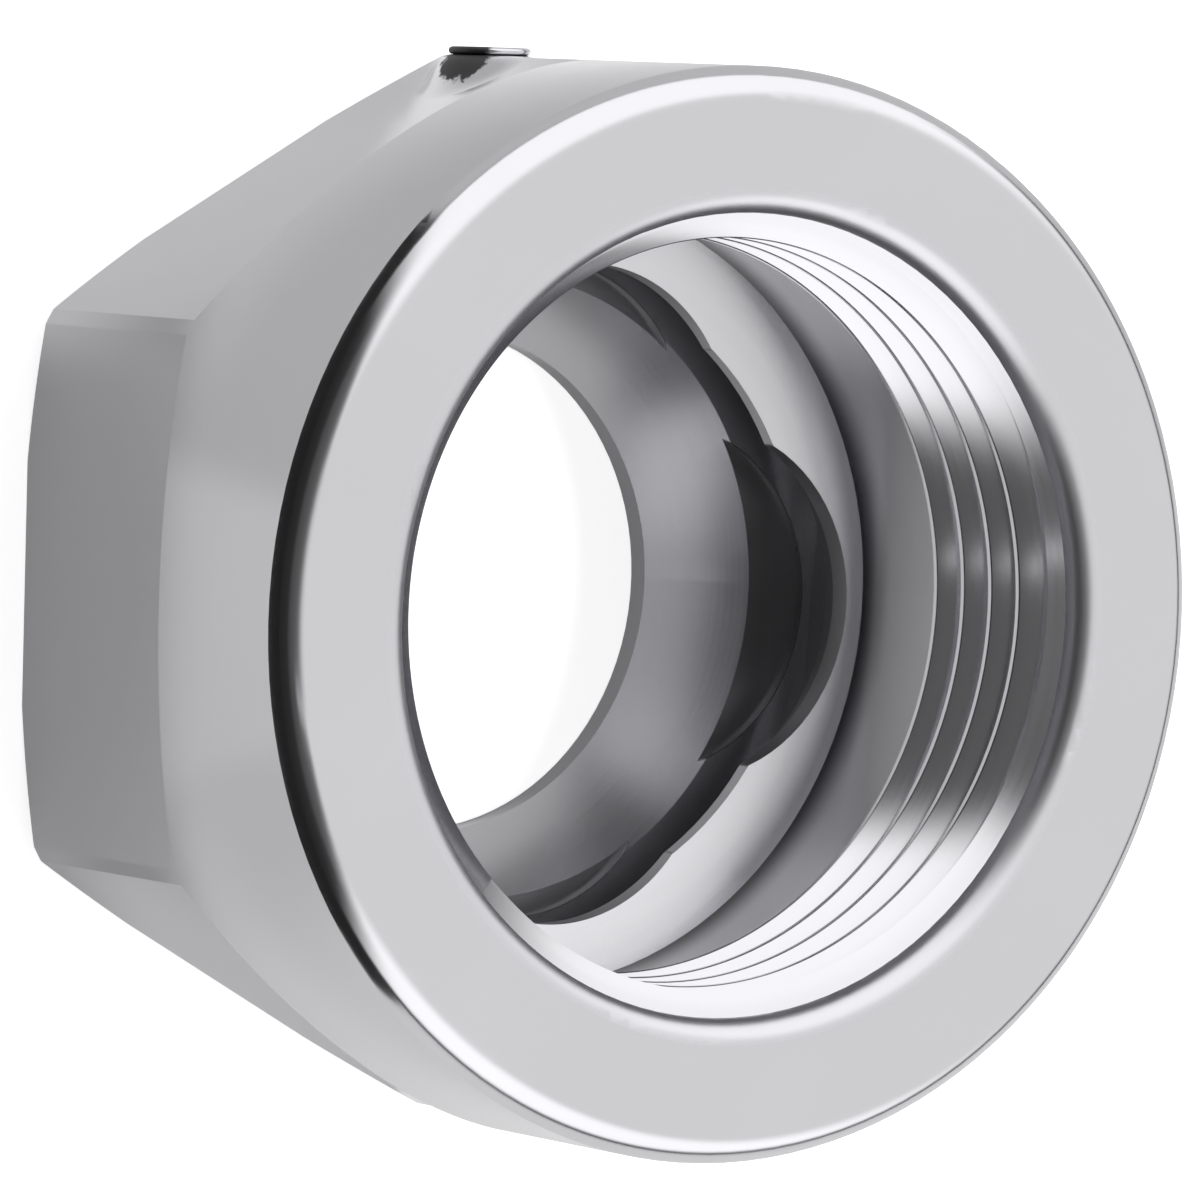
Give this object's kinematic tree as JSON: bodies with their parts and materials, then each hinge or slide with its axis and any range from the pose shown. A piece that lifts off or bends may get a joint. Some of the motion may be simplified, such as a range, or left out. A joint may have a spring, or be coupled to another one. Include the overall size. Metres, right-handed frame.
{
  "type": "collet chuck nut",
  "caption": "Hexagonal collet nut with a round collar, an internal clamping thread, an undercut lip that draws the collet out, and a conical seat behind an open nose.",
  "frame": {"origin": "centre of the hole in the front face, in the plane of that face, on which the nut stands", "axes": "+Z along the thread axis, from the front face to the threaded face; +X through the middle of one flat, so that the hexagon's corners lie at +Y and -Y; the deep notch in the lip is on the +X side and the small raised mark is on the corner at +Y"},
  "size_m": [0.034, 0.0343, 0.0192],
  "materials": {
    "steel": "turned and polished, bright"
  },
  "bodies": {
    "root": {"nut": "steel"}
  },
  "joints": []
}
